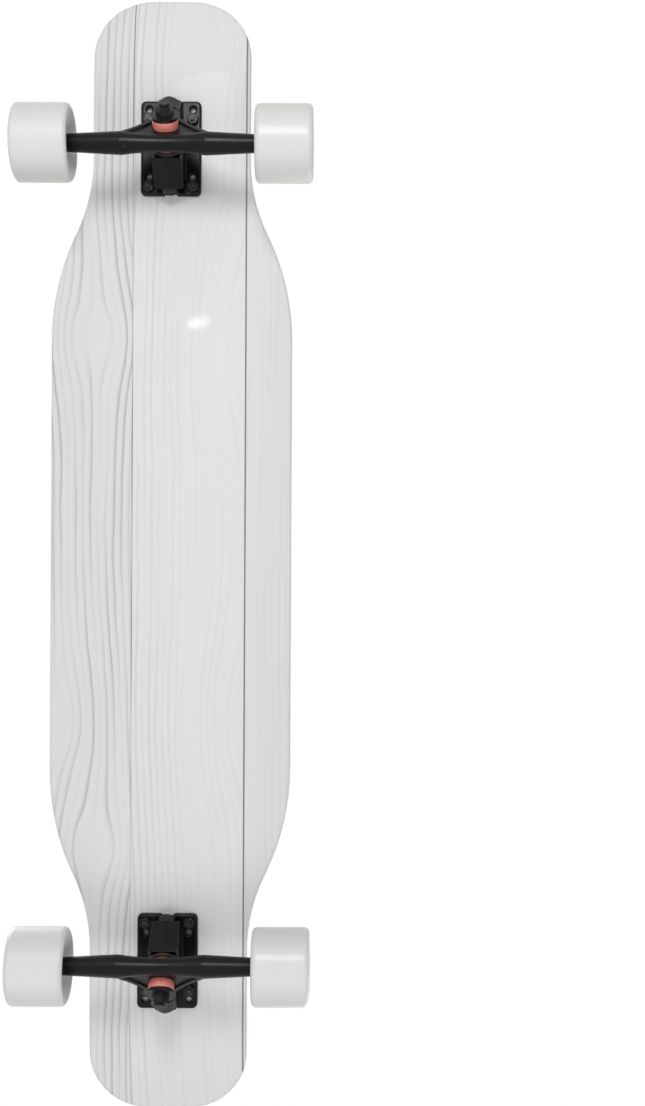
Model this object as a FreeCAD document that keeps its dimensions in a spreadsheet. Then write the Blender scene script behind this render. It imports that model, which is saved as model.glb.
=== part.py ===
import FreeCAD, Part
import math
import os

import Sketcher
from FreeCAD import Vector

# A longboard skateboard: a pressed deck with grip tape on two reverse-kingpin trucks and four wheels.
# Sizes are in millimetres. X runs along the deck towards the nose, Y across it and Z up.
# The origin is on the ground under the deck's middle.

SIZES = {
    # Deck and grip tape
    "deck_length": 1060,
    "deck_width": 229,
    "deck_thickness": 11,
    "neck_width": 149,
    "neck_length": 155,
    "nose_radius": 57,
    "flare_inner_radius": 160,
    "flare_outer_radius": 221,
    "concave_flat": 80,
    "concave_radius": 317,
    "kick_length": 98,
    "kick_radius": 280,
    "edge_round": 3,
    "grip_thickness": 0.8,
    "grip_bond": 0.02,
    "grip_trim": 0.2,
    "blank_margin": 8,
    # Truck bolts and nuts
    "bolt_gauge": 41.3,
    "bolt_diameter": 4.8,
    "bolt_head_diameter": 9.4,
    "bolt_head_height": 2.6,
    "bolt_socket_width": 3.2,
    "bolt_socket_depth": 1.8,
    "bolt_tail": 2.2,
    "bolt_hole_play": 0.4,
    "truck_nut_width": 9.5,
    "truck_nut_height": 5.2,
    # Baseplate
    "truck_inset": 147,
    "plate_length": 89.2,
    "plate_width": 57,
    "plate_thickness": 6,
    "plate_corner": 5,
    "plate_bevel": 1.2,
    "outer_hole_spread": 73,
    "inner_hole_spread": 54,
    "tower_width": 27,
    "tower_front": 6,
    "tower_tail": 9.5,
    "tower_draft": 4,
    "seat_reach": 14.5,
    "housing_radius": 11.5,
    "housing_start": 27,
    "housing_end": 46.5,
    "gusset_width": 20,
    "gusset_start": 17,
    "gusset_end": 43,
    "gusset_rise": 10,
    "gusset_drop": 8,
    # Steering axis and kingpin
    "pivot_angle": 48,
    "axle_drop": 70,
    "axle_setback": 13,
    "ring_reach": 25,
    "kingpin_diameter": 9.5,
    "kingpin_head_diameter": 15.6,
    "kingpin_head_height": 7,
    "kingpin_head_play": 0.7,
    "kingpin_pocket_depth": 26,
    "kingpin_wall": 35,
    "kingpin_tail": 2.5,
    "kingpin_play": 0.2,
    "kingpin_nut_width": 14.3,
    "kingpin_nut_height": 9,
    "bushing_diameter": 24,
    "bushing_chamfer": 1.2,
    "boardside_length": 15,
    "roadside_length": 11.2,
    "washer_thickness": 1.5,
    "washer_lip": 1.2,
    "washer_wall": 1.2,
    "washer_play": 0.2,
    # Hanger
    "hanger_width": 180,
    "beam_end_radius": 8,
    "beam_knee_radius": 10.6,
    "beam_waist_radius": 7.8,
    "beam_knee": 38,
    "yoke_half_width": 64,
    "yoke_sweep": 98,
    "yoke_tip": 18,
    "yoke_tip_half_width": 9,
    "yoke_thickness": 9,
    "rib_wall": 4.8,
    "rib_height": 2,
    "ring_radius": 16,
    "ring_bore_radius": 7.5,
    "ring_web": 6,
    "ring_relief": 0.4,
    "nose_root_radius": 8.5,
    "nose_root_start": 14.5,
    "nose_root_end": 21,
    "nose_shoulder": 25,
    "nose_reach": 40,
    "pivot_radius": 6,
    "pivot_play": 0.08,
    "pivot_cup_radius": 9,
    "pivot_cup_floor": 2.4,
    # Axle and wheels
    "axle_diameter": 8,
    "axle_tail": 1,
    "axle_chamfer": 0.8,
    "axle_nut_width": 12.7,
    "axle_nut_height": 7.5,
    "speed_ring_thickness": 1,
    "speed_ring_wall": 1.6,
    "fit_play": 0.03,
    "wheel_diameter": 70,
    "wheel_width": 52,
    "wheel_offset": 5.6,
    "wheel_lip": 5,
    "core_radius": 19,
    "core_proud": 1.4,
    "core_shoulder": 1.5,
    "bond_gap": 0.02,
    # Ball bearings
    "bearing_diameter": 22,
    "bearing_width": 7,
    "bearing_spacing": 10,
    "spacer_wall": 1.8,
    "ball_diameter": 3.96,
    "ball_play": 0.12,
    "ball_pitch_radius": 7.5,
    "race_depth": 1.9,
    "shield_thickness": 0.4,
    "shield_recess": 0.25,
    "shield_play": 0.15,
    "cage_wall": 1.4,
    "cage_thickness": 0.4,
    "cage_post_radius": 0.7,
}
BALL_COUNT = 7
HEX_SIDES = 6
HEX_CHAMFER_SLOPE = 0.5

doc = FreeCAD.newDocument("Longboard")
sheet = doc.addObject("Spreadsheet::Sheet", "Sizes")
for row, (alias, number) in enumerate(SIZES.items(), 1):
    sheet.set(f"A{row}", alias)
    sheet.set(f"B{row}", str(number))
    sheet.setAlias(f"B{row}", alias)
doc.recompute()


class Size:
    """A measure kept both as an expression on the sheet and as its present value."""

    def __init__(self, text, value):
        self.text = text
        self.value = value

    def join(self, sign, other, value):
        return Size(f"({self.text} {sign} {other.text})", value)

    def __add__(self, other):
        other = measure(other)
        return self.join("+", other, self.value + other.value)

    def __sub__(self, other):
        other = measure(other)
        return self.join("-", other, self.value - other.value)

    def __mul__(self, other):
        other = measure(other)
        return self.join("*", other, self.value * other.value)

    def __truediv__(self, other):
        other = measure(other)
        return self.join("/", other, self.value / other.value)

    def __radd__(self, other):
        return measure(other) + self

    def __rsub__(self, other):
        return measure(other) - self

    def __rmul__(self, other):
        return measure(other) * self

    def __neg__(self):
        return Size(f"(-{self.text})", -self.value)


def measure(item):
    """The item as a Size; a plain number becomes a constant."""
    if isinstance(item, Size):
        return item
    return Size(f"({float(item)})", float(item))


def size(alias):
    """The named size of the sheet."""
    return Size(f"Sizes.{alias}", float(getattr(sheet, alias)))


def cosine(angle):
    return Size(f"cos({angle.text})", math.cos(math.radians(angle.value)))


def sine(angle):
    return Size(f"sin({angle.text})", math.sin(math.radians(angle.value)))


def arcsine(ratio):
    return Size(f"(asin({ratio.text}) / 1deg)", math.degrees(math.asin(ratio.value)))


def root(square):
    return Size(f"sqrt({square.text})", math.sqrt(square.value))


# Sketches and features


def new_body(name):
    body = doc.addObject("PartDesign::Body", name)
    body.Label = name
    return body


def origin_feature(body, role):
    return next(feature for feature in body.Origin.OriginFeatures if feature.Role == role)


def new_sketch(body, plane, offset=None):
    """A sketch on one of the body's origin planes, or at a distance along that plane's normal."""
    sketch = body.newObject("Sketcher::SketchObject", f"{body.Label}_sketch")
    sketch.AttachmentSupport = [(origin_feature(body, plane), "")]
    sketch.MapMode = "FlatFace"
    if offset is not None:
        sketch.setExpression("AttachmentOffset.Base.z", measure(offset).text)
    return sketch


def pin(sketch, edge, end, spot):
    """Hold one end of an edge at a spot given by two sizes."""
    axes = (("DistanceX", -2), ("DistanceY", -1))
    for (kind, zero_axis), distance in zip(axes, map(measure, spot)):
        if distance.value == 0:
            sketch.addConstraint(Sketcher.Constraint("PointOnObject", edge, end, zero_axis))
            continue
        index = sketch.addConstraint(Sketcher.Constraint(kind, -1, 1, edge, end, distance.value))
        sketch.setExpression(f"Constraints[{index}]", distance.text)


def flat_point(spot):
    return Vector(measure(spot[0]).value, measure(spot[1]).value, 0)


def add_arc(sketch, start, end, hub, radius):
    """The shorter arc from start to end; returns it with the numbers of its ends in that order."""
    first = math.atan2(start.y - hub.y, start.x - hub.x)
    last = math.atan2(end.y - hub.y, end.x - hub.x)
    turn = (last - first) % (2 * math.pi)
    circle = Part.Circle(hub, Vector(0, 0, 1), radius.value)
    if turn < math.pi:
        edge = sketch.addGeometry(Part.ArcOfCircle(circle, first, first + turn), False)
        ends = (1, 2)
    else:
        edge = sketch.addGeometry(Part.ArcOfCircle(circle, last, last + 2 * math.pi - turn), False)
        ends = (2, 1)
    index = sketch.addConstraint(Sketcher.Constraint("Radius", edge, radius.value))
    sketch.setExpression(f"Constraints[{index}]", radius.text)
    return edge, ends


def draw_loop(sketch, spots, arcs=None):
    """A closed outline through the spots. arcs has the radius and centre of each edge that isn't straight."""
    arcs = arcs or {}
    points = [flat_point(spot) for spot in spots]
    edges = []
    for index, start in enumerate(points):
        end = points[(index + 1) % len(points)]
        if index in arcs:
            radius, centre = arcs[index]
            edges.append(add_arc(sketch, start, end, flat_point(centre), measure(radius)))
        else:
            edges.append((sketch.addGeometry(Part.LineSegment(start, end), False), (1, 2)))
    for index, (edge, ends) in enumerate(edges):
        previous, previous_ends = edges[index - 1]
        sketch.addConstraint(Sketcher.Constraint("Coincident", previous, previous_ends[1], edge, ends[0]))
        pin(sketch, edge, ends[0], spots[index])


def draw_circle(sketch, spot, radius):
    radius = measure(radius)
    edge = sketch.addGeometry(Part.Circle(flat_point(spot), Vector(0, 0, 1), radius.value), False)
    index = sketch.addConstraint(Sketcher.Constraint("Radius", edge, radius.value))
    sketch.setExpression(f"Constraints[{index}]", radius.text)
    pin(sketch, edge, 3, spot)


def draw_axis(sketch, start, end):
    """A construction line for a feature to turn about."""
    edge = sketch.addGeometry(Part.LineSegment(flat_point(start), flat_point(end)), True)
    pin(sketch, edge, 1, start)
    pin(sketch, edge, 2, end)


def draw_hexagon(sketch, width, spot=(0, 0)):
    """A hexagon of the given width across its flats."""
    corner = width / (2 * math.cos(math.pi / HEX_SIDES))
    angles = [2 * math.pi * side / HEX_SIDES + math.pi / HEX_SIDES / 2 for side in range(HEX_SIDES)]
    draw_loop(sketch, [(spot[0] + corner * math.cos(a), spot[1] + corner * math.sin(a)) for a in angles])


def extrude(body, sketch, length, kind="Pad", symmetric=False, backwards=False):
    feature = body.newObject(f"PartDesign::{kind}", f"{body.Label}_{kind.lower()}")
    feature.Profile = sketch
    feature.SideType = "Symmetric" if symmetric else "One side"
    feature.Reversed = backwards
    if length is None:
        feature.Type = "ThroughAll"
    else:
        feature.setExpression("Length", measure(length).text)
    return feature


def turn(body, sketch, axis="V_Axis", kind="Revolution", angle=360, backwards=False):
    feature = body.newObject(f"PartDesign::{kind}", f"{body.Label}_{kind.lower()}")
    feature.Profile = sketch
    feature.ReferenceAxis = (sketch, [axis])
    feature.setExpression("Angle", measure(angle).text)
    feature.Reversed = backwards
    return feature


def repeat_grid(body, originals, length, width):
    """Copies of the originals at the four corners of a rectangle that runs along X and Y."""
    pattern = body.newObject("PartDesign::LinearPattern", f"{body.Label}_grid")
    pattern.Originals = originals
    pattern.Direction = (origin_feature(body, "X_Axis"), [""])
    pattern.Direction2 = (origin_feature(body, "Y_Axis"), [""])
    pattern.Occurrences = 2
    pattern.Occurrences2 = 2
    pattern.setExpression("Length", measure(length).text)
    pattern.setExpression("Length2", measure(width).text)
    body.Tip = pattern
    return pattern


def repeat_round(body, originals, count):
    pattern = body.newObject("PartDesign::PolarPattern", f"{body.Label}_round")
    pattern.Originals = originals
    pattern.Axis = (origin_feature(body, "Z_Axis"), [""])
    pattern.Occurrences = count
    body.Tip = pattern
    return pattern


def repeat_mirrored(body, originals, plane):
    mirror = body.newObject("PartDesign::Mirrored", f"{body.Label}_mirror")
    mirror.Originals = originals
    mirror.MirrorPlane = (origin_feature(body, plane), [""])
    body.Tip = mirror
    return mirror


def turned(name, loops):
    """A body of one or more rings or rods turned about its Z axis; each loop is (spots, arcs)."""
    body = new_body(name)
    sketch = new_sketch(body, "XZ_Plane")
    for spots, arcs in loops:
        draw_loop(sketch, spots, arcs)
    turn(body, sketch)
    return body


def ring_loop(inner, outer, low, high):
    return [(inner, low), (outer, low), (outer, high), (inner, high)], {}


# Frames that the pieces are placed in


def placement(spot, axis, angle):
    spot_text = "; ".join(measure(value).text for value in spot)
    axis_text = "; ".join(str(value) for value in axis)
    return f"placement(vector({spot_text}); rotation(vector({axis_text}); {measure(angle).text}))"


def place(item, *frames):
    """Put the item in the last frame, each frame standing in the one before it."""
    item.setExpression("Placement", " * ".join(frames))
    return item


lean = size("pivot_angle")
underside = size("wheel_diameter") / 2 + size("axle_drop")
ring_x = size("ring_reach") * cosine(lean) - size("axle_setback")
ring_z = size("ring_reach") * sine(lean) - size("axle_drop")
truck_x = size("deck_length") / 2 - size("truck_inset")
TRUCKS = {
    "front": placement((truck_x, 0, underside), (0, 0, 1), 0),
    "rear": placement((-truck_x, 0, underside), (0, 0, 1), 180),
}
DECK_FRAME = placement((0, 0, underside), (0, 0, 1), 0)
STEER_FRAME = placement((ring_x, 0, ring_z), (0, 1, 0), -lean)
AXLE_SPOT = (-size("axle_setback"), 0, -size("axle_drop"))
AXLE_FRAMES = {side: placement(AXLE_SPOT, (1, 0, 0), -90 * side) for side in (1, -1)}


def beside_pivot(reach, drop):
    """A spot of the truck's side view, from the ring's centre along the pivot axis and down the kingpin."""
    return (
        ring_x + reach * cosine(lean) + drop * sine(lean),
        ring_z + reach * sine(lean) - drop * cosine(lean),
    )


# Heights along the kingpin from the ring's centre, up towards the board and down towards the road
ring_seat = size("ring_web") / 2
tower_seat = ring_seat + size("boardside_length") + size("washer_thickness")
kingpin_head_seat = tower_seat + size("kingpin_wall")
road_washer_top = ring_seat + size("roadside_length")
kingpin_nut_top = road_washer_top + size("washer_thickness")
kingpin_end = kingpin_nut_top + size("kingpin_nut_height") + size("kingpin_tail")

# Distances along the axle from the truck's middle
hanger_end = size("hanger_width") / 2
inner_bearing = hanger_end + size("speed_ring_thickness")
outer_bearing = inner_bearing + size("bearing_width") + size("bearing_spacing")
bearings_end = outer_bearing + size("bearing_width")
axle_nut_seat = bearings_end + size("speed_ring_thickness")
axle_end = axle_nut_seat + size("axle_nut_height") + size("axle_tail")
BEARING_STARTS = (inner_bearing, outer_bearing)

# Truck bolts stand in the inboard outer holes and the outboard inner holes of the baseplate
bolt_radius = size("bolt_diameter") / 2
bolt_hole_radius = bolt_radius + size("bolt_hole_play")
first_bolt = (-size("outer_hole_spread") / 2, -size("bolt_gauge") / 2)
bolt_spread = (size("outer_hole_spread") + size("inner_hole_spread")) / 2
grip_base = size("deck_thickness") + size("grip_bond")
grip_top = grip_base + size("grip_thickness")


# Deck and grip tape


def board_outline(inset):
    """The board's plan, drawn in from its edge by the inset, as spots and arcs."""
    end = size("deck_length") / 2 - inset
    neck = size("neck_width") / 2 - inset
    waist = size("deck_width") / 2 - inset
    corner = size("nose_radius") - inset
    inner = size("flare_inner_radius") + inset
    outer = size("flare_outer_radius") - inset
    flare_start = size("deck_length") / 2 - size("neck_length")
    radii = inner + outer
    flare_rise = waist - neck
    flare_run = root(flare_rise * (2 * radii - flare_rise))
    flare_end = flare_start - flare_run
    swap_x = flare_start - flare_run * inner / radii
    swap_y = neck + flare_rise * inner / radii
    quarter = [
        (end, neck - corner), (end - corner, neck), (flare_start, neck), (swap_x, swap_y), (flare_end, waist),
    ]
    bends = {
        0: (corner, (end - corner, neck - corner)),
        2: (inner, (flare_start, neck + inner)),
        3: (outer, (flare_end, waist - outer)),
    }
    spots = []
    arcs = {}
    for along, across in ((1, 1), (-1, 1), (-1, -1), (1, -1)):
        first = len(spots)
        spots += [(along * x, across * y) for x, y in (quarter if along == across else quarter[::-1])]
        for edge, (radius, (x, y)) in bends.items():
            place_in_quarter = edge if along == across else len(quarter) - 2 - edge
            arcs[first + place_in_quarter] = (radius, (along * x, across * y))
    return spots, arcs


def board_section(sketch, low, high):
    """The section across the board between two heights over the flat part of its underside."""
    flat = size("concave_flat") / 2
    edge = size("deck_width") / 2 + size("blank_margin")
    centre = size("concave_radius")
    radii = {level: centre - level for level in (low, high)}
    reach = edge - flat
    rail = {level: centre - root(radius * radius - reach * reach) for level, radius in radii.items()}
    spots = [
        (-flat, low), (flat, low), (edge, rail[low]), (edge, rail[high]),
        (flat, high), (-flat, high), (-edge, rail[high]), (-edge, rail[low]),
    ]
    arcs = {
        1: (radii[low], (flat, centre)),
        3: (radii[high], (flat, centre)),
        5: (radii[high], (-flat, centre)),
        7: (radii[low], (-flat, centre)),
    }
    draw_loop(sketch, spots, arcs)


def board_layer(name, low, high, inset):
    """A layer of the board with its concave and kicks, cut to the plan."""
    body = new_body(name)
    kick_start = size("deck_length") / 2 - size("kick_length")
    middle = new_sketch(body, "YZ_Plane")
    board_section(middle, low, high)
    extrude(body, middle, 2 * kick_start, symmetric=True)
    kick_angle = arcsine((size("kick_length") + size("blank_margin")) / (size("kick_radius") - grip_top))
    for end in (1, -1):
        kick = new_sketch(body, "YZ_Plane", end * kick_start)
        board_section(kick, low, high)
        draw_axis(kick, (0, size("kick_radius")), (size("deck_width"), size("kick_radius")))
        turn(body, kick, "Axis0", angle=kick_angle, backwards=end > 0)
    plan = new_sketch(body, "XY_Plane")
    clear_x = size("deck_length") / 2 + 2 * size("kick_length")
    clear_y = size("deck_width") / 2 + 2 * size("blank_margin")
    draw_loop(plan, [(-clear_x, -clear_y), (clear_x, -clear_y), (clear_x, clear_y), (-clear_x, clear_y)])
    draw_loop(plan, *board_outline(inset))
    extrude(body, plan, None, kind="Pocket", symmetric=True)
    return body


def drill_truck_holes(body, profile):
    """Turn the hole's profile, given as radii and heights, away at each truck bolt."""
    front_first = truck_x - size("outer_hole_spread") / 2
    rear_first = -truck_x - size("inner_hole_spread") / 2
    for hole_x in (front_first, rear_first):
        sketch = new_sketch(body, "XZ_Plane", size("bolt_gauge") / 2)
        draw_loop(sketch, [(hole_x + radius, height) for radius, height in profile])
        draw_axis(sketch, (hole_x, 0), (hole_x, grip_top))
        groove = turn(body, sketch, "Axis0", kind="Groove")
        repeat_grid(body, [groove], bolt_spread, size("bolt_gauge"))


head_radius = size("bolt_head_diameter") / 2
head_base = grip_top - size("bolt_head_height")
countersink = [
    (0, -size("deck_thickness")),
    (bolt_hole_radius, -size("deck_thickness")),
    (bolt_hole_radius, head_base - size("bolt_hole_play")),
    (head_radius + size("bolt_hole_play"), grip_top - size("bolt_hole_play")),
    (head_radius + size("bolt_hole_play"), 2 * grip_top),
    (0, 2 * grip_top),
]


def is_side(face):
    """Whether the face stands upright, as the board's sides do."""
    low_u, high_u, low_v, high_v = face.ParameterRange
    return abs(face.normalAt((low_u + high_u) / 2, (low_v + high_v) / 2).z) < 0.3


def rim_edges(shape):
    """Names of the edges where the board's sides meet its upper and lower faces."""
    names = []
    for number, edge in enumerate(shape.Edges, 1):
        faces = shape.ancestorsOfType(edge, Part.Face)
        if sum(is_side(face) for face in faces) == 1:
            names.append(f"Edge{number}")
    return names


def round_rim(body):
    """Round over the board's whole rim."""
    doc.recompute()
    base = body.Tip
    fillet = body.newObject("PartDesign::Fillet", f"{body.Label}_fillet")
    fillet.Base = (base, rim_edges(base.Shape))
    fillet.setExpression("Radius", size("edge_round").text)
    body.Tip = fillet


def make_board():
    deck = board_layer("deck", 0 * size("deck_thickness"), size("deck_thickness"), 0)
    round_rim(deck)
    grip = board_layer("grip_tape", grip_base, grip_top, size("edge_round") + size("grip_trim"))
    for layer in (deck, grip):
        drill_truck_holes(layer, countersink)
        place(layer, DECK_FRAME)
    return [deck, grip]


# Nuts and truck bolts


def hex_nut(body, spot, seat, height, width, bore, downwards):
    """A nut that stands on the seat and is chamfered at its free end; returns its features."""
    sketch = new_sketch(body, "XY_Plane", seat)
    draw_hexagon(sketch, width, spot)
    draw_circle(sketch, spot, bore)
    nut = extrude(body, sketch, height, backwards=downwards)
    way = -1 if downwards else 1
    corner = width / (2 * math.cos(math.pi / HEX_SIDES))
    top = seat + way * height
    x, y = spot
    bevel = new_sketch(body, "XZ_Plane", -y)
    draw_loop(bevel, [
        (x + width / 2, top),
        (x + corner, top - way * (corner - width / 2) * HEX_CHAMFER_SLOPE),
        (x + corner, top),
    ])
    draw_axis(bevel, (x, seat), (x, top))
    return [nut, turn(body, bevel, "Axis0", kind="Groove")]


def truck_bolts(end):
    """Four countersunk bolts with hexagon sockets, flush with the grip tape."""
    body = new_body(f"{end}_truck_bolts")
    x, y = first_bolt
    tail = -(size("plate_thickness") + size("truck_nut_height") + size("bolt_tail"))
    sketch = new_sketch(body, "XZ_Plane", -y)
    draw_loop(sketch, [
        (x, tail),
        (x + bolt_radius, tail),
        (x + bolt_radius, head_base),
        (x + head_radius, grip_top),
        (x, grip_top),
    ])
    draw_axis(sketch, (x, tail), (x, grip_top))
    bolt = turn(body, sketch, "Axis0")
    socket_sketch = new_sketch(body, "XY_Plane", grip_top)
    draw_hexagon(socket_sketch, size("bolt_socket_width"), first_bolt)
    socket = extrude(body, socket_sketch, size("bolt_socket_depth"), kind="Pocket")
    repeat_grid(body, [bolt, socket], bolt_spread, size("bolt_gauge"))
    return place(body, TRUCKS[end])


def truck_nuts(end):
    body = new_body(f"{end}_truck_nuts")
    bore = bolt_radius + size("fit_play")
    seat = -size("plate_thickness")
    features = hex_nut(body, first_bolt, seat, size("truck_nut_height"), size("truck_nut_width"), bore, True)
    repeat_grid(body, features, bolt_spread, size("bolt_gauge"))
    return place(body, TRUCKS[end])


# Baseplate and pivot cup

kingpin_radius = size("kingpin_diameter") / 2
kingpin_head_radius = size("kingpin_head_diameter") / 2
kingpin_bore = kingpin_radius + size("kingpin_play")
pivot_bore = size("pivot_radius") + size("pivot_play")
pivot_centre = size("nose_reach") - size("pivot_radius")
pivot_cup_end = size("nose_reach") + size("pivot_play") + size("pivot_cup_floor")


def rounded_rectangle(sketch, half_length, half_width, corner):
    x, y = half_length, half_width
    spots = [
        (corner - x, -y), (x - corner, -y), (x, corner - y), (x, y - corner),
        (x - corner, y), (corner - x, y), (-x, y - corner), (-x, corner - y),
    ]
    arcs = {
        1: (corner, (x - corner, corner - y)),
        3: (corner, (x - corner, y - corner)),
        5: (corner, (corner - x, y - corner)),
        7: (corner, (corner - x, corner - y)),
    }
    draw_loop(sketch, spots, arcs)


def add_plate(body):
    """The flange that bolts to the deck, with its lower rim bevelled."""
    sketch = new_sketch(body, "XY_Plane")
    rounded_rectangle(sketch, size("plate_length") / 2, size("plate_width") / 2, size("plate_corner"))
    plate = extrude(body, sketch, size("plate_thickness"), backwards=True)
    doc.recompute()
    low = plate.Shape.BoundBox.ZMin
    rim = [f"Edge{n}" for n, edge in enumerate(plate.Shape.Edges, 1) if edge.BoundBox.ZMax - low < 0.01]
    bevel = body.newObject("PartDesign::Chamfer", f"{body.Label}_chamfer")
    bevel.Base = (plate, rim)
    bevel.setExpression("Size", size("plate_bevel").text)
    body.Tip = bevel


def add_tower(body):
    """The slanted block that carries the kingpin, from the board-side bushing's seat to the pin's head."""
    root_height = -size("plate_thickness") / 2
    head_reach = (root_height - ring_z - kingpin_head_seat * cosine(lean)) / sine(lean)
    sketch = new_sketch(body, "XZ_Plane")
    draw_loop(sketch, [
        beside_pivot(-size("seat_reach"), -tower_seat),
        beside_pivot(size("seat_reach"), -tower_seat),
        (size("tower_front"), root_height),
        beside_pivot(head_reach, -kingpin_head_seat),
        beside_pivot(-size("tower_tail"), -kingpin_head_seat),
    ])
    tower = extrude(body, sketch, size("tower_width"), symmetric=True)
    tower.setExpression("TaperAngle", (-size("tower_draft")).text)


def add_housing(body):
    """The round housing of the pivot cup and the gusset under it."""
    axis = (beside_pivot(size("housing_start"), 0), beside_pivot(size("housing_end"), 0))
    sketch = new_sketch(body, "XZ_Plane")
    draw_loop(sketch, [
        axis[0],
        beside_pivot(size("housing_start"), size("housing_radius")),
        beside_pivot(size("housing_end"), size("housing_radius")),
        axis[1],
    ])
    draw_axis(sketch, *axis)
    turn(body, sketch, "Axis0")
    root_height = -size("plate_thickness") / 2
    gusset = new_sketch(body, "XZ_Plane")
    draw_loop(gusset, [
        (size("gusset_start"), root_height),
        (size("gusset_end"), root_height),
        beside_pivot(size("housing_end"), size("gusset_drop")),
        beside_pivot(size("housing_start"), -size("gusset_rise")),
    ])
    extrude(body, gusset, size("gusset_width"), symmetric=True)


def bore_baseplate(body):
    """The kingpin's hole and head pocket, the pivot cup's socket and the eight bolt holes."""
    pocket_end = kingpin_head_seat + size("kingpin_pocket_depth")
    pocket_radius = kingpin_head_radius + size("kingpin_head_play")
    kingpin = new_sketch(body, "XZ_Plane")
    draw_loop(kingpin, [
        beside_pivot(0, 0),
        beside_pivot(kingpin_bore, 0),
        beside_pivot(kingpin_bore, -kingpin_head_seat),
        beside_pivot(pocket_radius, -kingpin_head_seat),
        beside_pivot(pocket_radius, -pocket_end),
        beside_pivot(0, -pocket_end),
    ])
    draw_axis(kingpin, beside_pivot(0, 0), beside_pivot(0, -pocket_end))
    turn(body, kingpin, "Axis0", kind="Groove")
    socket_radius = size("pivot_cup_radius") + size("fit_play")
    mouth = size("housing_start") - size("housing_radius")
    pivot = new_sketch(body, "XZ_Plane")
    draw_loop(pivot, [
        beside_pivot(mouth, 0),
        beside_pivot(mouth, socket_radius),
        beside_pivot(pivot_cup_end, socket_radius),
        beside_pivot(pivot_cup_end, 0),
    ])
    draw_axis(pivot, beside_pivot(mouth, 0), beside_pivot(pivot_cup_end, 0))
    turn(body, pivot, "Axis0", kind="Groove")
    holes = new_sketch(body, "XY_Plane")
    for spread in (size("outer_hole_spread"), size("inner_hole_spread")):
        for x in (spread / 2, -spread / 2):
            for y in (size("bolt_gauge") / 2, -size("bolt_gauge") / 2):
                draw_circle(holes, (x, y), bolt_hole_radius)
    extrude(body, holes, None, kind="Pocket")


def baseplate(end):
    body = new_body(f"{end}_baseplate")
    add_plate(body)
    add_tower(body)
    add_housing(body)
    bore_baseplate(body)
    return place(body, TRUCKS[end])


def pivot_cup(end):
    """The lining of the pivot's housing, with a round bottom for the tip of the pivot nose."""
    outer = size("pivot_cup_radius")
    spots = [
        (pivot_bore, size("housing_start")),
        (outer, size("housing_start")),
        (outer, pivot_cup_end),
        (0, pivot_cup_end),
        (0, size("nose_reach") + size("pivot_play")),
        (pivot_bore, pivot_centre),
    ]
    cup = turned(f"{end}_pivot_cup", [(spots, {4: (pivot_bore, (0, pivot_centre))})])
    return place(cup, TRUCKS[end], STEER_FRAME, placement((0, 0, 0), (0, 1, 0), 90))


# Kingpin, its nut and washers, and the bushings

bushing_radius = size("bushing_diameter") / 2


def kingpin(end):
    head_top = kingpin_head_seat + size("kingpin_head_height")
    spots = [
        (0, -kingpin_end),
        (kingpin_radius, -kingpin_end),
        (kingpin_radius, kingpin_head_seat),
        (kingpin_head_radius, kingpin_head_seat),
        (kingpin_head_radius, head_top),
        (0, head_top),
    ]
    return place(turned(f"{end}_kingpin", [(spots, {})]), TRUCKS[end], STEER_FRAME)


def kingpin_nut(end):
    body = new_body(f"{end}_kingpin_nut")
    bore = kingpin_radius + size("fit_play")
    hex_nut(body, (0, 0), -kingpin_nut_top, size("kingpin_nut_height"), size("kingpin_nut_width"), bore, True)
    return place(body, TRUCKS[end], STEER_FRAME)


def cup_washers(end):
    """Two washers whose lips close over the outer ends of the bushings."""
    inside = bushing_radius + size("washer_play")
    outside = inside + size("washer_wall")
    board_face = tower_seat - size("washer_thickness")
    loops = []
    for back, face, way in ((tower_seat, board_face, -1), (-kingpin_nut_top, -road_washer_top, 1)):
        lip = face + way * size("washer_lip")
        loops.append(([
            (kingpin_bore, back), (outside, back), (outside, lip),
            (inside, lip), (inside, face), (kingpin_bore, face),
        ], {}))
    return place(turned(f"{end}_cup_washers", loops), TRUCKS[end], STEER_FRAME)


def bushing(name, end, low, high):
    chamfer = size("bushing_chamfer")
    spots = [
        (kingpin_bore, low),
        (bushing_radius - chamfer, low),
        (bushing_radius, low + chamfer),
        (bushing_radius, high - chamfer),
        (bushing_radius - chamfer, high),
        (kingpin_bore, high),
    ]
    return place(turned(f"{end}_{name}", [(spots, {})]), TRUCKS[end], STEER_FRAME)


# Hanger and axle

axle_radius = size("axle_diameter") / 2
axle_bore = axle_radius + size("fit_play")


def add_beam(body):
    """The round beam that the axle runs through, thickest at its knees and waisted between them."""
    axle_x = -size("ring_reach")
    knee = size("beam_knee")
    waist = size("beam_waist_radius")
    dip = size("beam_knee_radius") - waist
    sweep = (knee * knee + dip * dip) / (2 * dip)
    half = [
        (axle_bore, hanger_end),
        (size("beam_end_radius"), hanger_end),
        (size("beam_knee_radius"), knee),
    ]
    spots = [(axle_x + radius, y) for radius, y in half]
    spots += [(axle_x + radius, -y) for radius, y in reversed(half)]
    sketch = new_sketch(body, "XY_Plane")
    draw_loop(sketch, spots, {2: (sweep, (axle_x + waist + sweep, 0))})
    draw_axis(sketch, (axle_x, -hanger_end), (axle_x, hanger_end))
    return turn(body, sketch, "Axis0")


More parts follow.
